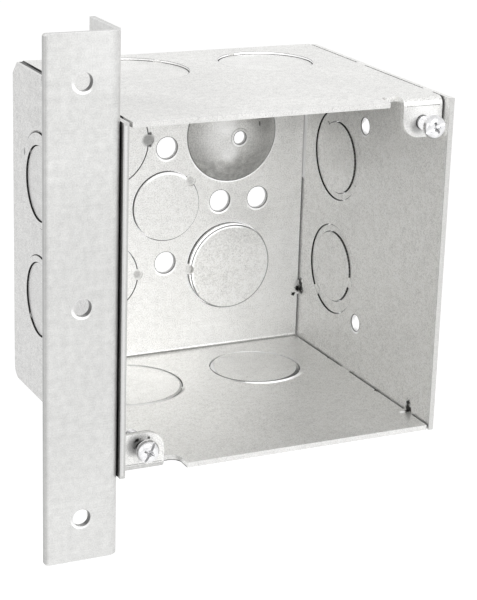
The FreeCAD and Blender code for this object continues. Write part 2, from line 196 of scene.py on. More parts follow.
class Round:
    """A sheared knockout: its axis, centre on the wall's inner face, radius and coined tabs.

    tabs are directions from its centre. highlit is the part of its edge, in distance along the
    axis, that stands out and gets a painted highlight, and gleam is how bright. open_side is the
    direction in which its slit gapes and gets the darkest painted shade, and faint is how dark it
    is on the other side.
    """

    def __init__(self, axis, centre, radius, tabs, highlit=None, gleam=0.9, open_side=None, faint=1.0):
        self.axis, self.centre, self.radius = axis, centre, radius * MM
        self.highlit = highlit and [edge * MM for edge in highlit]
        self.gleam, self.faint = gleam, faint
        self.open_side = open_side and self.in_wall(open_side)
        reach = self.radius + SLIT / 2
        self.tabs = [centre + self.in_wall(direction) * reach for direction in tabs]

    def in_wall(self, direction):
        """A direction in the wall, from its two parts across the axis."""
        parts = list(direction)
        parts.insert(self.axis, 0.0)
        return Vector(parts)


def back_rounds():
    """Those of the back wall: middle, lower right, lower left and upper left."""
    return [
        Round(Y, spot(0, BACK_WALL, 0.7), SMALL, [(0.74, 0.67)],
              highlit=(-0.4, -0.05), open_side=(-0.8, -0.6), faint=0.45),
        Round(Y, spot(22.6, BACK_WALL, -21.4), MEDIUM, [(-1, 0)],
              highlit=(-0.95, -0.1), open_side=(-0.8, -0.6), faint=0.3),
        Round(Y, spot(-21, BACK_WALL, -21.4), SMALL, [(1, 0)]),
        Round(Y, spot(-21, BACK_WALL, 22.8), MEDIUM, [(1, 0)]),
    ]


def level_rounds():
    """The large and the medium one of the top wall and then of the bottom wall."""
    above, below = (1.0, 1.5), (-0.5, -0.02)
    return [
        Round(Z, spot(-22.4, KNOCKOUT_LINE, SIDE_WALL), LARGE, [(0.77, 0.64)],
              highlit=above, gleam=0.45),
        Round(Z, spot(22.4, KNOCKOUT_LINE, SIDE_WALL), MEDIUM, [(-0.34, 0.94)], highlit=above),
        Round(Z, spot(-22.4, KNOCKOUT_LINE, -SIDE_WALL), LARGE, [(0.5, -0.87)],
              highlit=below, gleam=0.55, open_side=(0.3, -0.95), faint=0.1),
        Round(Z, spot(22.4, KNOCKOUT_LINE, -SIDE_WALL), MEDIUM, [(-0.34, 0.94)],
              highlit=below, gleam=0.55, open_side=(-0.5, -0.87), faint=0.1),
    ]


def side_rounds(side, ring_tabs, core_tabs):
    """The rings and cores of a side panel's two double knockouts, the upper one first."""
    found = []
    for end, ring_tab, core_tab in zip((1, -1), ring_tabs, core_tabs):
        ring = spot(side * SIDE_WALL, KNOCKOUT_LINE, end * 19.0)
        core = spot(side * SIDE_WALL, KNOCKOUT_LINE, end * 18.1)
        found += [Round(X, ring, MEDIUM, [ring_tab]), Round(X, core, SMALL, [core_tab])]
    return found


# Materials

class Shades:
    """The node tree of one new material, with short ways to add to it."""

    def __init__(self, name):
        self.material = bpy.data.materials.new(name)
        self.material.use_nodes = True
        tree = self.material.node_tree
        self.nodes, self.links = tree.nodes, tree.links
        self.shader = self.nodes["Principled BSDF"]
        self.place = self.add("TexCoord").outputs["Object"]

    def add(self, kind, feeds=(), **settings):
        """A node of that kind, with its settings, and its inputs fed from sockets or values."""
        node = self.nodes.new("ShaderNode" + kind)
        for key, value in settings.items():
            setattr(node, key, value)
        for name, feed in dict(feeds).items():
            self.feed(node.inputs[name], feed)
        return node

    def feed(self, socket, feed):
        if isinstance(feed, bpy.types.NodeSocket):
            self.links.new(feed, socket)
        else:
            socket.default_value = feed

    def math(self, operation, first, second=0.0):
        return self.add("Math", {0: first, 1: second}, operation=operation).outputs[0]

    def product(self, *factors):
        result = factors[0]
        for factor in factors[1:]:
            result = self.math("MULTIPLY", result, factor)
        return result

    def most(self, *values):
        result = values[0]
        for value in values[1:]:
            result = self.math("MAXIMUM", result, value)
        return result

    def fade(self, value, start, end, first=1.0, last=0.0):
        """first up to start, last beyond end, and a straight run between."""
        feeds = {0: value, 1: start, 2: end, 3: first, 4: last}
        return self.add("MapRange", feeds, clamp=True).outputs[0]

    def within(self, value, low, high):
        """1 where the value lies between low and high."""
        above = self.math("GREATER_THAN", value, low)
        return self.product(above, self.math("LESS_THAN", value, high))

    def gap(self, value, level):
        """How far the value is from a level, either way."""
        return self.math("ABSOLUTE", self.math("SUBTRACT", value, level))

    def vector(self, operation, first, second=(0.0, 0.0, 0.0)):
        node = self.add("VectorMath", {0: first, 1: second}, operation=operation)
        gives_number = operation in ("LENGTH", "DISTANCE", "DOT_PRODUCT")
        return node.outputs["Value" if gives_number else "Vector"]

    def parts(self, vector):
        return self.add("SeparateXYZ", {0: vector}).outputs

    def distance(self, centre):
        return self.vector("DISTANCE", self.place, tuple(centre))

    def about(self, axis, centre):
        """The offset from a centre, how far it goes along an axis and how far it is from it."""
        offset = self.vector("SUBTRACT", self.place, tuple(centre))
        flat = tuple(0.0 if index == axis else 1.0 for index in range(3))
        reach = self.vector("LENGTH", self.vector("MULTIPLY", offset, flat))
        return offset, self.parts(offset)[axis], reach

    def noise(self, scale, detail=2.0, place=None):
        feeds = {"Vector": place or self.place, "Scale": scale, "Detail": detail}
        return self.add("TexNoise", feeds).outputs[0]

    def swing(self, noise):
        """A noise that swings from -0.5 to 0.5."""
        return self.fade(noise, 0.30, 0.70, -0.5, 0.5)

    def hidden(self, distance, full, none, share, **settings):
        """The share where what lies within the distance hides the place, and 0 where it's open."""
        found = self.add("AmbientOcclusion", {"Distance": distance}, **settings)
        return self.fade(found.outputs["AO"], full, none, share, 0.0)

    def edges(self, distance, full, none, share):
        """The share along a piece's own outer edges, where painted highlights go."""
        return self.hidden(distance, full, none, share, inside=True, only_local=True, samples=6)

    def crevices(self, distance, full, none, share):
        """The share in crevices and where pieces meet, where painted shade goes."""
        return self.hidden(distance, full, none, share, samples=8)

    def mix(self, share, first, second):
        """A colour that is first at share 0 and second at share 1."""
        colors = {6: first, 7: second}
        for key, color in colors.items():
            if isinstance(color, tuple) and len(color) == 3:
                colors[key] = (*color, 1.0)
        return self.add("Mix", {0: share, **colors}, data_type="RGBA").outputs[2]

    def tilt(self, share, normal, towards):
        """The normal turned towards a direction by a share."""
        feeds = {0: share, 4: normal, 5: tuple(towards)}
        mixed = self.add("Mix", feeds, data_type="VECTOR").outputs[1]
        return self.vector("NORMALIZE", mixed)

    def bump(self, strength, depth, height, **feeds):
        feeds.update(Strength=strength, Distance=depth, Height=height)
        return self.add("Bump", feeds).outputs["Normal"]

    def put(self, **inputs):
        for name, feed in inputs.items():
            self.feed(self.shader.inputs[name.replace("_", " ").title()], feed)


TAB_RADIUS = 1.8 * MM
SLIT_SOFT = 0.06 * MM
SLIT_DEPTH = 3.0 * MM
RIM_SOFT = (0.12 * MM, 0.24 * MM)
RIM_RING = 0.8 * MM
WALL_REACH = 1.8 * MM
FACE_REACH = 0.25 * MM
DOWNWARD = (-0.35, 0.0, -0.93)


def shear_line(shades, piece):
    """The painted shade of a knockout's slit and the painted highlight of its edge, not over its
    tabs.
    """
    offset, along, reach = shades.about(piece.axis, piece.centre)
    off = shades.gap(reach, piece.radius + SLIT / 2)
    line = shades.fade(off, SLIT / 2, SLIT / 2 + SLIT_SOFT)
    line = shades.product(line, shades.within(along, -SLIT_DEPTH, SLIT_DEPTH))
    for tab in piece.tabs:
        clear = shades.math("GREATER_THAN", shades.distance(tab), TAB_RADIUS)
        line = shades.product(line, clear)
    bright = None
    if piece.highlit:
        bright = shades.product(line, shades.within(along, *piece.highlit))
        line = shades.math("SUBTRACT", line, bright)
    if piece.open_side:
        toward = shades.vector("DOT_PRODUCT", offset, tuple(piece.open_side))
        opening = shades.fade(toward, -piece.radius, 0.6 * piece.radius, piece.faint, 1.0)
        line = shades.product(line, opening)
    return line, bright


def hole_rim(shades, axis, centre, radius, depth, toward=None):
    """How much painted shade and painted highlight a round hole gets on its rim, its wall and the
    face round it.

    depth is how far down its wall the painted shade goes from the face that its centre lies on,
    and toward is the direction of its shaded side, if it has only one.
    """
    radius, depth = radius * MM, depth * MM
    offset, along, reach = shades.about(axis, centre)
    on_rim = shades.fade(shades.gap(reach, radius), *RIM_SOFT)
    dark = shades.product(on_rim, shades.within(along, -depth, depth))
    ring = shades.within(reach, radius + RIM_SOFT[0], radius + RIM_RING)
    if toward:
        side = shades.vector("DOT_PRODUCT", offset, toward)
        dark = shades.product(dark, shades.fade(side, 0.0, 0.7 * radius, 0.0, 1.0))
        below = shades.vector("DOT_PRODUCT", offset, DOWNWARD)
        bright = shades.product(ring, shades.fade(below, 0.25 * radius, 0.9 * radius, 0.0, 0.9))
    else:
        low = shades.fade(shades.parts(offset)[Z], -radius, 0.3 * radius)
        bright = shades.most(shades.product(ring, low), on_rim)
    return dark, shades.product(bright, shades.within(along, -WALL_REACH, WALL_REACH))


def arc(shades, axis, centre, radii, toward, span):
    """1 on a flat ring between two radii, from nothing to all as it turns towards a direction.

    span gives the two shares of the outer radius, along that direction, where that starts
    and ends.
    """
    inner, outer = (radius * MM for radius in radii)
    offset, along, reach = shades.about(axis, centre)
    side = shades.vector("DOT_PRODUCT", offset, toward)
    side = shades.fade(side, span[0] * outer, span[1] * outer, 0.0, 1.0)
    level = shades.within(along, -FACE_REACH, FACE_REACH)
    return shades.product(shades.within(reach, inner, outer), side, level)


def blotch(shades, centre, radius, ragged=0.0):
    """1 near a point, fading out at the radius in millimetres, with a ragged edge if asked."""
    radius = radius * MM
    distance = shades.distance(centre)
    if ragged:
        stray = shades.math("SUBTRACT", shades.noise(900.0, 3.0), 0.5)
        distance = shades.math("ADD", distance, shades.product(stray, ragged))
    return shades.fade(distance, 0.55 * radius, radius)


def in_block(shades, low, high):
    """1 inside a block between two corners."""
    place = shades.parts(shades.place)
    return shades.product(*[shades.within(place[index], low[index], high[index])
                            for index in range(3)])


def on_own_side(shades, centre, share):
    """The share kept to the inner faces of the walls, for a mark centred inside the box."""
    low, high = CAVITY
    if all(low[index] <= centre[index] <= high[index] for index in range(3)):
        return shades.product(share, in_block(shades, low, high))
    return share


def dome_shade(shades, centre, radius, spangle):
    """Painted shade over the dome, most at its foot and lower down, and the painted dark line round
    it.
    """
    radius = radius * MM
    reach = shades.distance(centre)
    foot = shades.fade(reach, 0.8 * radius, radius, 0.10, 0.0)
    height = shades.parts(shades.place)[Z]
    low = shades.fade(height, centre.z - radius, centre.z + 0.3 * radius, 0.5, 0.0)
    low = shades.product(low, shades.math("ADD", shades.product(spangle, 1.1), 1.0))
    inside = shades.math("LESS_THAN", reach, radius)
    line = shades.fade(shades.gap(reach, radius), 0.10 * MM, 0.25 * MM, 0.7, 0.0)
    return shades.product(inside, shades.math("ADD", foot, low)), line


# One zinc in three copies; the left panel's and the bracket's are painted darker, as shade for how
# light falls on them
BOX_ZINC = (0.90, 0.897, 0.88)
LEFT_ZINC_SHADED = (0.70, 0.698, 0.69)
BRACKET_ZINC_SHADED = (0.68, 0.68, 0.67)
SPECK = (0.25, 0.25, 0.25)
# White of the painted highlight along outer edges
EDGE_HIGHLIGHT = (0.95, 0.95, 0.95)
# Grey of darker coined tabs and of painted shade and shadow
DENT_AND_SHADE_GREY = (0.12, 0.12, 0.12)
# Grey of the painted shade on the dome
DOME_SHADE_GREY = (0.2, 0.2, 0.2)
CUT_EDGE = (0.45, 0.45, 0.44)
# White of painted highlights
HIGHLIGHT_WHITE = (0.97, 0.97, 0.97)
# Black of the sheared edges and of painted shade on slits, hole rims and arcs
SHEAR_AND_SHADE = (0.035, 0.035, 0.035)
# Black of painted shade in crevices, seams and creases
CREVICE = (0.03, 0.03, 0.03)
# Black of weld burns and of painted shadows
BURN_AND_SHADOW_BLACK = (0.012, 0.011, 0.010)
ZINC_METAL = 0.72
ZINC_ROUGH = (0.34, 0.46)
ZINC_BUMP = (0.08, 0.1 * MM)
# Reach and shares of the painted edge highlight
ZINC_EDGES = (0.35 * MM, 0.55, 0.97, 0.4)
# Reach and shares of the painted shade in crevices
ZINC_CREVICES = (2.2 * MM, 0.12, 0.52, 0.97)

# Scale and detail of each noise, and its share in the tone
CLOUD, CLOUD_SHARE = (55.0, 3.0), 0.06
SPANGLE, SPANGLE_SHARE = (480.0, 2.0), 0.12
GRAIN, GRAIN_SHARE = (2600.0, 1.0), 0.36
STREAK, STREAK_SHARE = (70.0, 2.0), 0.05
STREAK_STRETCH = (1.0, 1.0, 26.0)
SPECKS, SPECK_SHARE = (1500.0, 0.0), 0.25

# Strengths of the painted highlight and painted shade round holes
HOLE_BRIGHT, HOLE_DARK = 0.8, 0.85
BURN_RAGGED = 3.0 * MM
GLINT = Vector((-0.18, -0.87, 0.45)).normalized()
GLINT_SHARE = 0.7


def zinc_ground(shades, zinc, grit):
    """The zinc with its cloud, spangle, grain, streaks and specks, and the first three of them."""
    cloud, spangle, grain = (shades.swing(shades.noise(*kind)) for kind in (CLOUD, SPANGLE, GRAIN))
    stretched = shades.vector("MULTIPLY", shades.place, STREAK_STRETCH)
    streak = shades.swing(shades.noise(*STREAK, stretched))
    tone = 1.0
    for part, share in ((cloud, CLOUD_SHARE), (spangle, SPANGLE_SHARE),
                        (grain, GRAIN_SHARE * grit), (streak, STREAK_SHARE)):
        tone = shades.math("ADD", shades.product(part, share), tone)
    toned = shades.add("VectorMath", {0: zinc, "Scale": tone}, operation="SCALE")
    speck = shades.fade(shades.noise(*SPECKS), 0.77, 0.81, 0.0, SPECK_SHARE * grit)
    return shades.mix(speck, toned.outputs["Vector"], SPECK), cloud, spangle, grain


def galvanised(name, zinc, rounds=(), holes=(), dents=(), burns=(), lines=(), glints=(), arcs=(),
               dome=None, front=None, grit=1.0):
    """Satin zinc on steel, faintly mottled and lined, with painted shade in crevices and painted
    highlights on its edges.

    holes and arcs are what hole_rim() and arc() take, arcs with their strength at the end.
    dents are (centre, radius, strength): coined tabs and painted shade, shadow and
    light. burns are (centre, radius): weld burns and painted shadows. lines and
    glints are blocks, (low, high, strength), lines of painted shade and dark nicks, glints of
    painted highlight. An entry of dents is dark and an arc a painted highlight above
    zero, and the other way below it. dome is (centre, radius), front the depth of the cut front
    edges and how grey they are, and grit scales the fine grain.
    """
    shades = Shades(name)
    color, cloud, spangle, grain = zinc_ground(shades, zinc, grit)
    # Painted highlight along each piece's outer edges
    color = shades.mix(shades.edges(*ZINC_EDGES), color, EDGE_HIGHLIGHT)
    # Painted shade in crevices and where pieces meet
    color = shades.mix(shades.crevices(*ZINC_CREVICES), color, CREVICE)
    bright, dark = [], []
    # Above zero, darker coined tabs and painted shade; below zero, painted light
    for centre, radius, strength in dents:
        share = shades.product(blotch(shades, centre, radius), abs(strength))
        share = on_own_side(shades, centre, share)
        if strength > 0.0:
            color = shades.mix(share, color, DENT_AND_SHADE_GREY)
        else:
            bright.append(share)
    # Blocks of painted shade along creases, seams and folds, and dark nicks
    for low, high, strength in lines:
        share = shades.product(in_block(shades, low, high), strength)
        color = shades.mix(share, color, CREVICE)
    # Painted shade on the dome and a painted dark line round its foot
    if dome:
        grey, line = dome_shade(shades, *dome, spangle)
        color = shades.mix(grey, color, DOME_SHADE_GREY)
        color = shades.mix(line, color, CREVICE)
    if front:
        depth, strength = front
        cut = shades.math("LESS_THAN", shades.parts(shades.place)[Y], depth * MM)
        color = shades.mix(shades.product(cut, strength), color, CUT_EDGE)
    for low, high, strength in glints:
        bright.append(shades.product(in_block(shades, low, high), strength))
    # Arcs: painted highlights above zero, painted shade below
    for *where, strength in arcs:
        share = shades.product(arc(shades, *where), abs(strength))
        (bright if strength > 0.0 else dark).append(share)
    # Painted highlight and painted shade round each hole
    for hole in holes:
        shadow, shine = hole_rim(shades, *hole)
        bright.append(shades.product(shine, HOLE_BRIGHT))
        dark.append(shades.product(shadow, HOLE_DARK))
    # Painted shade in each slit and a painted highlight on its standing edge
    for piece in rounds:
        slit, edge = shear_line(shades, piece)
        dark.append(slit)
        if edge:
            bright.append(shades.product(edge, piece.gleam))
    # Painted highlights: the colour goes towards white and the shading normal turns towards GLINT
    bright = shades.most(*bright)
    color = shades.mix(bright, color, HIGHLIGHT_WHITE)
    # Painted shade on slits, hole rims and arcs
    color = shades.mix(shades.most(*dark), color, SHEAR_AND_SHADE)
    # Weld burns, and the painted shadow beside the lower screw
    for centre, radius in burns:
        share = on_own_side(shades, centre, blotch(shades, centre, radius, BURN_RAGGED))
        color = shades.mix(share, color, BURN_AND_SHADOW_BLACK)
    rough = shades.fade(shades.math("ADD", cloud, grain), -0.6, 0.6, *ZINC_ROUGH)
    facing = shades.add("NewGeometry").outputs["Normal"]
    facing = shades.tilt(shades.product(bright, GLINT_SHARE), facing, GLINT)
    normal = shades.bump(*ZINC_BUMP, shades.math("ADD", spangle, grain), Normal=facing)
    shades.put(base_color=color, roughness=rough, metallic=ZINC_METAL, normal=normal)
    return shades.material


SCREW_BRIGHT, SCREW_DULL = (0.86, 0.86, 0.87), (0.70, 0.70, 0.71)
# White of the painted highlight along the screws' edges
SCREW_EDGE = (0.98, 0.98, 0.98)
SCREW_METAL = 0.9
SCREW_ROUGH = (0.16, 0.30)
SCREW_BUMP = (0.25, 0.15 * MM)
# Settings of the painted edge highlight and the painted crevice shade on the screws
SCREW_EDGES = (0.2 * MM, 0.55, 0.95, 0.8)
SCREW_CREVICES = (1.2 * MM, 0.15, 0.8)
SCREW_CLOUD = (700.0, 3.0)


def plated(name, seat, recess):
    """Bright zinc plating, as the screws have it, with painted highlights on its edges, painted
    shade in the slot and cross and a painted shadow from the ear's face inwards.

    seat is the place along Y of the ear's face, and recess how dark the painted shade in the
    slot and cross is.
    """
    shades = Shades(name)
    cloud = shades.noise(*SCREW_CLOUD)
    color = shades.mix(shades.fade(cloud, 0.35, 0.65), SCREW_BRIGHT, SCREW_DULL)
    color = shades.mix(shades.edges(*SCREW_EDGES), color, SCREW_EDGE)
    color = shades.mix(shades.crevices(*SCREW_CREVICES, recess), color, CREVICE)
    # Painted shadow on the screw from just before the ear's face, weaker beyond the ear's back
    depth = shades.parts(shades.place)[Y]
    before = shades.fade(depth, seat - 1.3 * MM, seat - 0.3 * MM, 0.0, 0.9)
    behind = shades.fade(depth, seat + 1.55 * MM, seat + 1.65 * MM, 1.0, 0.4)
    color = shades.mix(shades.product(before, behind), color, CREVICE)
    rough = shades.fade(cloud, 0.35, 0.65, *SCREW_ROUGH)
    normal = shades.bump(*SCREW_BUMP, cloud)
    shades.put(base_color=color, roughness=rough, metallic=SCREW_METAL, normal=normal)
    return shades.material


def dress(node, material):
    """The material on every slot of a CAD node."""
    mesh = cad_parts[node].data
    for index in range(len(mesh.materials)):
        mesh.materials[index] = material
    if not mesh.materials:
        mesh.materials.append(material)


# What each sheet piece's zinc shows in the photo

def wrap_zinc():
    """The folded body, with its three walls, dome and ears."""
    rounds = back_rounds()
    middle, lower_right, lower_left, upper_left = (piece.tabs[0] for piece in rounds)
    dents = (
        # Coined tabs, and the slit's ends beside the upper left one
        (upper_left, 2.5, 0.66), (lower_left, 1.7, 0.45),
        (middle, 1.6, 0.30), (lower_right, 1.6, 0.12),
        (spot(-5.9, BACK_WALL, 24.9), 0.7, 0.95), (spot(-5.8, BACK_WALL, 20.9), 0.6, 0.9),
        # Upper ear: painted shadow behind its screw and painted light round it
        (spot(41.0, EAR_FACE, 42.9), 2.9, 0.6), (spot(43.0, EAR_FACE, 44.5), 7.0, -0.35),
        # Lower ear: painted shadow of its screw's head, a dark speck above the head and faint
        # painted shade over the ear
        (spot(-45.2, EAR_FACE, -43.0), 3.5, 0.5), (spot(-44.4, EAR_FACE, -42.4), 1.9, 0.5),
        (spot(-40.9, EAR_FACE, -41.0), 0.55, 0.95), (spot(-42.0, EAR_FACE, -46.0), 12.0, 0.09),
        # Dome: painted shade on its right flank and painted highlights on its left
        (spot(31.5, BACK_WALL - 4.0, 28.5), 7.0, 0.25),
        (spot(17.9, BACK_WALL - 5.9, 28.0), 5.0, -0.5),
        (spot(19.5, BACK_WALL - 6.0, 17.5), 3.5, -0.25),
        # Painted light and shade over the back wall, darker under the top wall
        (spot(31.0, BACK_WALL, -48.0), 28.0, -0.2), (spot(47.0, BACK_WALL, -28.0), 26.0, -0.28),
        (spot(36.0, BACK_WALL, -8.0), 26.0, -0.10), (spot(27.5, BACK_WALL, -5.5), 13.0, 0.10),
        (spot(45.0, BACK_WALL, 44.0), 24.0, 0.24), (spot(-5.0, BACK_WALL, 46.0), 22.0, 0.09),
        # Painted shade over the top wall and the bottom wall's rear
        (spot(-35.0, 45.0, 50.8), 45.0, 0.05), (spot(-40.0, 8.0, 50.8), 26.0, 0.06),
        (spot(12.0, 76.0, -62.0), 24.0, 0.10),
    )
    burns = (
        # Welds of the back right and the bottom right seam
        (spot(49.0, 86.8, -32.4), 1.5), (spot(47.2, 87.3, -34.3), 0.9),
        (spot(48.9, 12.2, -49.1), 1.0), (spot(48.9, 31.0, -49.2), 0.8),
        (spot(48.9, 63.5, -49.2), 0.7),
        # Painted shadow of the lower screw's head on its ear
        (spot(-44.3, EAR_FACE, -41.5), 0.8), (spot(-43.7, EAR_FACE, -43.0), 1.0),
        (spot(-45.2, EAR_FACE, -43.8), 0.45),
    )
    lines = (
        # Painted shade lines along the creases over the upper ear and under the lower one, and
        # along the lower one's back edge
        (spot(36.9, 0, 48.38), spot(41.6, 3.3, 48.62), 0.5),
        (spot(41.6, 0, 48.38), spot(47.9, 3.3, 48.62), 0.8),
        (spot(-48.0, 0, -48.62), spot(-36.8, 3.3, -48.38), 0.6),
        (spot(-48.2, 4.35, -44.0), spot(-36.0, 4.8, -39.2), 0.75),
        # Painted shade on the fold under the lower ear, darker at its foot, and in the relief
        # beside it
        (spot(-48.1, 3.0, -50.9), spot(-36.0, 7.5, -48.8), 0.3),
        (spot(-48.1, 3.0, -50.9), spot(-36.0, 7.5, -50.3), 0.3),
        (spot(-36.3, 0.5, -50.9), spot(-29.0, 7.6, -50.5), 0.8),
        (spot(-36.3, 4.0, -50.5), spot(-29.0, 7.45, -49.3), 0.2),
        # Painted shadow in the upper left seam, a painted shade line along the lower back bend,
        # painted shade over the top wall, and the dark nick in the dome
        (spot(-48.3, 7.0, 49.0), spot(-48.05, 88.0, 50.78), 0.97),
        (spot(-48.0, 86.5, -49.15), spot(48.7, 87.1, -48.6), 0.5),
        (spot(-51.0, -1.0, 50.7), spot(51.0, 90.0, 51.0), 0.05),
        (spot(30.0, 78.0, 25.9), spot(30.5, 86.0, 27.3), 0.85),
    )
    holes = [(Y, spot(x, BACK_WALL, z), 3.6, 0.3)
             for x, z in ((0, 19.75), (0, -18.35), (19.05, 0.7), (32.55, 0.7))]
    holes.append((Y, DOME_TOP, 2.15, 0.4))
    pressed = BACK_WALL - 1.0
    disc_level, burr_level = -SIDE_WALL - 0.3, -SIDE_WALL + 0.17
    disc = spot(22.4, KNOCKOUT_LINE, disc_level)
    upper_left_way = (-0.75, 0.0, 0.66)
    near_way = (0.05, -1.0, 0.0)
    arcs = (
        # Lower right knockout of the back wall, pressed in: painted highlights and painted shade
        # lines on its rim and the wall round it
        (Y, spot(23.2, pressed, -22.05), (14.1, 14.45), upper_left_way, (0.0, 0.35), -0.95),
        (Y, spot(23.2, pressed, -22.05), (14.45, 16.0), upper_left_way, (0.0, 0.35), 0.9),
        (Y, spot(23.2, pressed, -22.05), (13.5, 14.1), upper_left_way, (0.2, 0.5), 0.8),
        (Y, spot(22.6, pressed, -21.4), (14.05, 14.4), (0.75, 0.0, -0.66), (-0.45, 0.1), -0.6),
        (Y, spot(22.6, BACK_WALL, -21.4), (14.75, 15.5), upper_left_way, (0.0, 0.35), 0.3),
        # Painted highlights on the top of the middle one and round the dome's foot, and a painted
        # shade line round the dome's hole
        (Y, spot(0, BACK_WALL - 0.4, 0.7), (10.4, 11.2), (0.1, 0.0, 1.0), (0.5, 0.8), 0.9),
        (Y, DOME_FOOT, (15.7, 16.15), (0.5, 0.0, -0.87), (-0.6, -0.1), 0.8),
        (Y, DOME_TOP, (2.95, 3.2), (-0.6, 0.0, 0.8), (-0.3, 0.4), -0.4),
        # Medium knockout of the bottom wall: painted shade on the disc and its left front end, and
        # painted highlights on its left end and near rim
        (Z, spot(22.4, KNOCKOUT_LINE + 1.2, disc_level), (13.95, 17.0), (-0.3, -0.95, 0.0),
         (-0.1, 0.3), -0.85),
        (Z, disc, (13.4, 14.4), (-0.77, -0.64, 0.0), (0.93, 0.98), -0.9),
        (Z, disc, (13.2, 14.35), (-0.95, 0.3, 0.0), (0.82, 0.92), 1.0),
        (Z, spot(22.4, KNOCKOUT_LINE, burr_level), (14.7, 15.9), near_way, (0.45, 0.75), 1.0),
        # Large one: painted shade on the disc and at the end of its slit, and a painted highlight
        # on its near rim
        (Z, spot(-22.4, KNOCKOUT_LINE + 0.8, disc_level), (17.05, 19.0), (0.6, -0.8, 0.0),
         (0.3, 0.8), -0.5),
        (Z, spot(-22.4, KNOCKOUT_LINE, burr_level), (17.75, 18.7), near_way, (0.45, 0.75), 0.7),
        (Z, spot(-22.4, KNOCKOUT_LINE, -SIDE_WALL), (17.4, 18.2), (0.66, -0.75, 0.0),
         (0.965, 0.985), -0.7),
    )
    # A painted highlight fleck beside the weld of the bottom right seam
    glints = ((spot(46.2, 11.7, -49.3), spot(48.0, 12.8, -49.1), 1.0),)
    return galvanised("wrap_zinc", BOX_ZINC, rounds + level_rounds(), holes, dents, burns, lines,
                      glints, arcs, dome=(DOME_FOOT, 15.6), front=(0.55, 0.34))


def panel_zinc(name, zinc, side, ring_tabs, core_tabs, **marks):
    """A side panel, the left one for side -1 and the right one for 1, with marks of its own."""
    holes = [(X, spot(side * SIDE_WALL, 47.7, z), 2.7, 0.3) for z in (32.1, -32.1)]
    return galvanised(name, zinc, side_rounds(side, ring_tabs, core_tabs), holes,
                      front=(0.2, 0.6), **marks)


def left_zinc():
    return panel_zinc(
        "left_zinc", LEFT_ZINC_SHADED, -1, ((0.91, 0.41), (0.91, -0.41)), ((0.72, 0.69), (0.75, -0.66)),
        # The upper ring's tab, darker, and painted shade in the gape of its slit
        dents=((spot(-51.0, 77.9, 25.0), 1.4, 0.75),),
        arcs=((X, spot(-50.8, KNOCKOUT_LINE, 19.0), (14.7, 15.05), (0.0, 0.5, 0.87),
               (0.2, 0.6), -0.6),),
        # Painted shadow in the open stretch of the seam on top, the dark nick beside it, and a
        # painted shade line on the front edge's inner side
        lines=((spot(-50.1, 61, 50.6), spot(-49.0, 85.5, 50.9), 0.97),
               (spot(-51.0, 61.4, 49.3), spot(-50.5, 63.3, 50.9), 0.8),
               (spot(-49.45, -0.1, -50.0), spot(-49.2, 0.1, 50.0), 0.3)),
        # Painted highlights on the middle of the front edge and on the inner face's upper front
        # corner
        glints=((spot(-50.4, -0.1, -50.0), spot(-49.8, 0.1, 50.0), 0.3),
                (spot(-49.3, 0.2, 44.0), spot(-49.1, 9.0, 50.9), 0.5)))


def right_zinc():
    return panel_zinc(
        "right_zinc", BOX_ZINC, 1, ((-0.79, -0.62), (0.72, -0.7)), ((0.7, 0.72), (-0.98, -0.2)),
        # Shade under the top wall
        dents=((spot(49.2, 76.0, 46.0), 26.0, 0.28), (spot(49.2, 46.0, 49.9), 24.0, 0.2)),
        # Welds of the back right and the bottom right seam
        burns=((spot(49.2, 86.1, -29.9), 1.5), (spot(49.2, 85.7, -32.2), 1.9),
               (spot(49.2, 12.2, -48.4), 2.2), (spot(49.2, 12.6, -46.6), 1.2)),
        # A painted highlight beside the upper half of the back right seam
        glints=((spot(49.1, 85.9, 6.0), spot(49.3, 88.9, 48.8), 1.0),))


def bracket_zinc():
    """The stud bracket, with its three holes and a soft shade along its left edge."""
    low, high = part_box("stud_bracket")
    # Painted shade on each hole's right side and a painted highlight below it
    holes = [(Y, Vector((0, 0, turn * 61.6 * MM)), 2.5, 1.8, (0.95, 0.0, -0.2))
             for turn in (1, 0, -1)]
    # Painted light near the top right and a faint broad painted shade
    dents = ((Vector((9.0, 0.0, 72.0)) * MM, 14.0, -0.13),
             (Vector((-6.0, 0.0, -8.0)) * MM, 48.0, 0.08))
    inset = 0.6 * MM
    lines = [((low.x + near * MM, -1.0 * MM, low.z + inset),
              (low.x + far * MM, 2.0 * MM, high.z - inset), strength)
             for near, far, strength in ((-0.1, 0.5, 0.33), (0.5, 0.8, 0.18), (0.8, 1.15, 0.08))]
    return galvanised("bracket_zinc", BRACKET_ZINC_SHADED, holes=holes, dents=dents, lines=lines,
                      grit=0.45)


# New shapes

FACE_STEPS = 64
WELL_STEPS = 24
SCREW_SHARP = math.radians(28)
LIP_SHARP = math.radians(50)


def new_object(name, work):
    """An object made from a bmesh, with its normals facing out."""
    mesh = bpy.data.meshes.new(name)
    bmesh.ops.recalc_face_normals(work, faces=work.faces)
    work.to_mesh(mesh)
    work.free()
    thing = bpy.data.objects.new(name, mesh)
    bpy.context.collection.objects.link(thing)
    return thing


def finish_mesh(mesh, material, sharp):
    """The material on a mesh, and smooth shading but for its sharp edges."""
    mesh.materials.clear()
    mesh.materials.append(material)
    mesh.shade_smooth()
    mesh.set_sharp_from_angle(angle=sharp)


def turned(name, profile, steps):
    """A solid turned about -Y from (radius, height) points in millimetres."""
    work = bmesh.new()
    rings = []
    for radius, height in profile:
        angles = [math.tau * step / steps for step in range(steps)] if radius else [0.0]
        rings.append([work.verts.new((radius * MM * math.cos(angle), -height * MM,
                                      radius * MM * math.sin(angle))) for angle in angles])
    for inner, outer in zip(rings, rings[1:]):
        for step in range(steps):
            after = (step + 1) % steps
            corners = [inner[step % len(inner)], inner[after % len(inner)],
                       outer[after % len(outer)], outer[step % len(outer)]]
            work.faces.new(list(dict.fromkeys(corners)))
    return new_object(name, work)


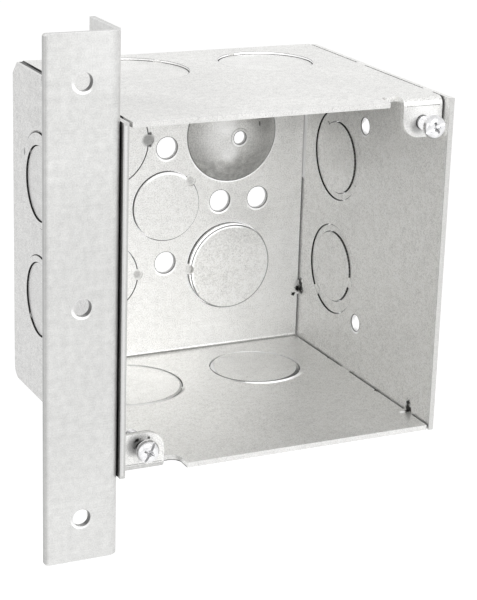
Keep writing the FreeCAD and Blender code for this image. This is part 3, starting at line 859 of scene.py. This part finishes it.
def cutter(name, width, length, depth, top, taper=1.0):
    """A block across the head's face, in millimetres, narrower at its foot by the taper."""
    work = bmesh.new()
    corners = []
    for y, scale in ((-top, 1.0), (-(top - depth), taper)):
        for x, z in ((-1, -1), (1, -1), (1, 1), (-1, 1)):
            place = (x * length / 2 * scale, y, z * width / 2 * scale)
            corners.append(work.verts.new([part * MM for part in place]))
    for face in ((0, 1, 2, 3), (7, 6, 5, 4), (0, 4, 5, 1),
                 (1, 5, 6, 2), (2, 6, 7, 3), (3, 7, 4, 0)):
        work.faces.new([corners[index] for index in face])
    return new_object(name, work)


def cut_away(thing, tools):
    """Cuts the tools' shapes out of the thing, for good, and removes the tools."""
    for tool in tools:
        modifier = thing.modifiers.new("cut", "BOOLEAN")
        modifier.operation = "DIFFERENCE"
        modifier.solver = "EXACT"
        modifier.object = tool
    depsgraph = bpy.context.evaluated_depsgraph_get()
    finished = bpy.data.meshes.new_from_object(thing.evaluated_get(depsgraph))
    thing.modifiers.clear()
    thing.data = finished
    for tool in tools:
        bpy.data.objects.remove(tool)


# Screws

PITCH = 0.794 * MM
CREST, ROOT, CORE = 2.08 * MM, 1.62 * MM, 0.8 * MM
FLANK = ROOT + 0.35 * (CREST - ROOT)
THREAD_TURN = ((0.0, ROOT), (0.22, FLANK), (0.5, CREST), (0.78, FLANK))  # share and radius
THREAD_STEPS = 40
TURNS_BEFORE = 2
SHANK_LENGTH = 12.7 * MM
SHANK_SUNK = 0.2 * MM
TIP_RADIUS = 1.45 * MM
TIP_SLOPE = 0.8
HEAD_HEIGHT = 2.4 * MM
HEAD_PROFILE = (  # radius, height
    (0.0, 0.03), (3.24, 0.03), (3.38, 0.16), (3.4, 0.5), (3.36, 0.95), (3.2, 1.4),
    (2.9, 1.82), (2.48, 2.12), (1.92, 2.31), (1.15, 2.39), (0.0, 2.4))
WELL_PROFILE = ((0.0, 0.85), (0.35, 1.0), (1.15, 2.6), (0.0, 2.6))
SLOT = {"width": 0.8, "length": 9.0, "depth": 1.2, "top": 2.5}
CROSS = {"width": 0.8, "length": 4.0, "depth": 1.7, "top": 2.6, "taper": 0.45}


def threaded_shank(name):
    """A helical thread along +Y, cut off square under the head and pointed a little at its end."""
    work = bmesh.new()
    turns = int(SHANK_LENGTH / PITCH) + 2 * TURNS_BEFORE
    columns = []
    for step in range(THREAD_STEPS):
        angle = math.tau * step / THREAD_STEPS
        column = []
        for turn in range(turns):
            for share, level in THREAD_TURN:
                y = (turn - TURNS_BEFORE + share + step / THREAD_STEPS) * PITCH
                radius = max(min(level, TIP_RADIUS + (SHANK_LENGTH - y) * TIP_SLOPE), CORE)
                place = (radius * math.cos(angle), y, radius * math.sin(angle))
                column.append(work.verts.new(place))
        columns.append(column)
    for step in range(THREAD_STEPS):
        here = columns[step]
        after = columns[(step + 1) % THREAD_STEPS]
        shift = len(THREAD_TURN) if step == THREAD_STEPS - 1 else 0
        for row in range(len(here) - 1 - shift):
            work.faces.new((here[row], here[row + 1], after[row + 1 + shift], after[row + shift]))
    for y, away in ((-SHANK_SUNK, -1.0), (SHANK_LENGTH, 1.0)):
        everything = work.verts[:] + work.edges[:] + work.faces[:]
        cut = bmesh.ops.bisect_plane(work, geom=everything, plane_co=(0, y, 0),
                                     plane_no=(0, away, 0), clear_outer=True)
        rim = [part for part in cut["geom_cut"] if isinstance(part, bmesh.types.BMEdge)]
        bmesh.ops.contextual_create(work, geom=rim)
    return new_object(name, work)


def cover_screw(node, body, slot_turn, recess):
    """A pan head screw with a slot and a cross, in place of the plain one."""
    low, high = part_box(node)
    seat = Vector(((low.x + high.x) / 2, low.y + HEAD_HEIGHT, (low.z + high.z) / 2))
    head = turned(node + "_head", HEAD_PROFILE, FACE_STEPS)
    slot = cutter("slot_tool", **SLOT)
    cross = cutter("cross_tool", **CROSS)
    cross.rotation_euler.y = math.pi / 2
    well = turned("well_tool", WELL_PROFILE, WELL_STEPS)
    bpy.context.view_layer.update()
    cut_away(head, [slot, cross, well])
    shank = threaded_shank(node + "_thread")
    material = plated(node + "_plating", EAR_FACE * MM, recess)
    for thing in (head, shank):
        thing.data.transform(Matrix.Rotation(math.radians(-slot_turn), 4, "Y"))
        thing.data.transform(Matrix.Translation(seat))
        finish_mesh(thing.data, material, SCREW_SHARP)
        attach(thing, body)
        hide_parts(node)


# Burrs

LIP_STEPS = 40
LIP_PROFILE = (  # share of the width out from the slit, and of the height
    (0.0, -0.2), (0.0, 0.6), (0.15, 0.95), (0.35, 1.0), (0.65, 0.6), (1.0, 0.0), (1.0, -0.2))


def floor_lip(name, piece, material, width, height, first, last):
    """A burr round part of a knockout, on the bottom wall, from one angle to another.

    Its width and height are in millimetres.
    """
    width, height = width * MM, height * MM
    work = bmesh.new()
    rows = []
    for step in range(LIP_STEPS + 1):
        angle = math.radians(first + (last - first) * step / LIP_STEPS)
        swell = math.sin(math.pi * (0.04 + 0.92 * step / LIP_STEPS)) ** 0.5
        row = []
        for out, up in LIP_PROFILE:
            reach = piece.radius + SLIT + out * width * swell
            rise = up * height * (swell if up > 0 else 1.0)
            place = Vector((math.cos(angle) * reach, math.sin(angle) * reach, rise))
            row.append(work.verts.new(piece.centre + place))
        rows.append(row)
    count = len(LIP_PROFILE)
    for here, after in zip(rows, rows[1:]):
        for index in range(count):
            follow = (index + 1) % count
            work.faces.new((here[index], here[follow], after[follow], after[index]))
    work.faces.new(rows[0])
    work.faces.new(rows[-1][::-1])
    lip = new_object(name, work)
    finish_mesh(lip.data, material, LIP_SHARP)
    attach(lip, "box")


# The scene

add_camera()
add_world()
add_floor()
for lamp in LAMPS:
    add_lamp(*lamp)

wrap = wrap_zinc()
dress("box_body", wrap)
large_floor, medium_floor = level_rounds()[2:]
floor_lip("medium_knockout_lip", medium_floor, wrap,
          width=0.95, height=0.34, first=-128.0, last=-58.0)
floor_lip("large_knockout_lip", large_floor, wrap,
          width=0.8, height=0.25, first=-122.0, last=-62.0)
dress("left_side", left_zinc())
dress("right_side", right_zinc())
dress("stud_bracket", bracket_zinc())
cover_screw("upper_cover_screw", "upper_screw", slot_turn=25.0, recess=0.25)
cover_screw("lower_cover_screw", "lower_screw", slot_turn=62.0, recess=0.4)

bpy.context.scene.view_settings.view_transform = "Standard"
